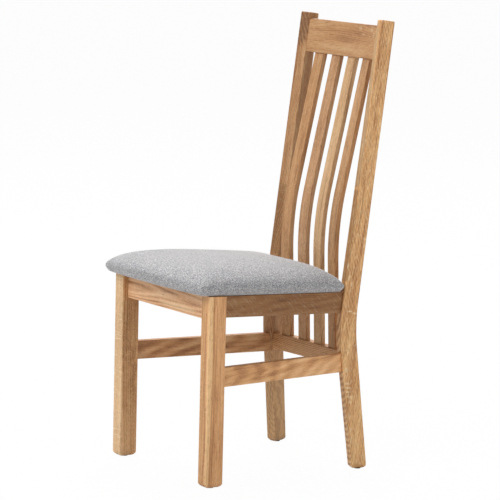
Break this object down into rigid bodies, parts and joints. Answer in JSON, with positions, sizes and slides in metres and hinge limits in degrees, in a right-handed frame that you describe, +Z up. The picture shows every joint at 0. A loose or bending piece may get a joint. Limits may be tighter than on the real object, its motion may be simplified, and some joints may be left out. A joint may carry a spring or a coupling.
{
  "type": "dining chair",
  "caption": "Oak dining chair with a tall concave slatted back, raked rear posts, low side stretchers and a domed grey fabric seat pad.",
  "frame": {"origin": "bottom centre of the whole chair's box, on the floor", "axes": "+Z up, -Y the way the sitter faces, +X to the sitter's left"},
  "size_m": [0.4426, 0.5682, 1.07],
  "materials": {
    "oak": "satin",
    "hidden_wood": "raw",
    "plywood": "raw",
    "grey_fabric": "matte",
    "foam": "matte",
    "lining": "matte",
    "dark_plastic": "matte",
    "zinc_steel": "satin"
  },
  "bodies": {
    "root": {"front_leg_left": "oak", "rear_post_left": "oak", "side_seat_rail_left": "oak", "side_stretcher_left": "oak", "foot_glide_front_left": "dark_plastic", "corner_block_front_left": "hidden_wood", "foot_glide_rear_left": "dark_plastic", "corner_block_rear_left": "hidden_wood", "front_leg_right": "oak", "rear_post_right": "oak", "side_seat_rail_right": "oak", "side_stretcher_right": "oak", "foot_glide_front_right": "dark_plastic", "corner_block_front_right": "hidden_wood", "foot_glide_rear_right": "dark_plastic", "corner_block_rear_right": "hidden_wood", "front_seat_rail": "oak", "rear_seat_rail": "hidden_wood", "lower_back_rail": "oak", "crest_rail": "oak", "back_slat_1": "oak", "back_slat_2": "oak", "back_slat_3": "oak", "back_slat_4": "oak", "seat_cover": "grey_fabric", "seat_board": "plywood", "seat_foam": "foam", "dust_cover": "lining", "seat_frame_dowels": "hidden_wood", "stretcher_dowels": "hidden_wood", "crest_dowels": "hidden_wood", "block_screws": "zinc_steel", "seat_screws": "zinc_steel"}
  },
  "joints": []
}
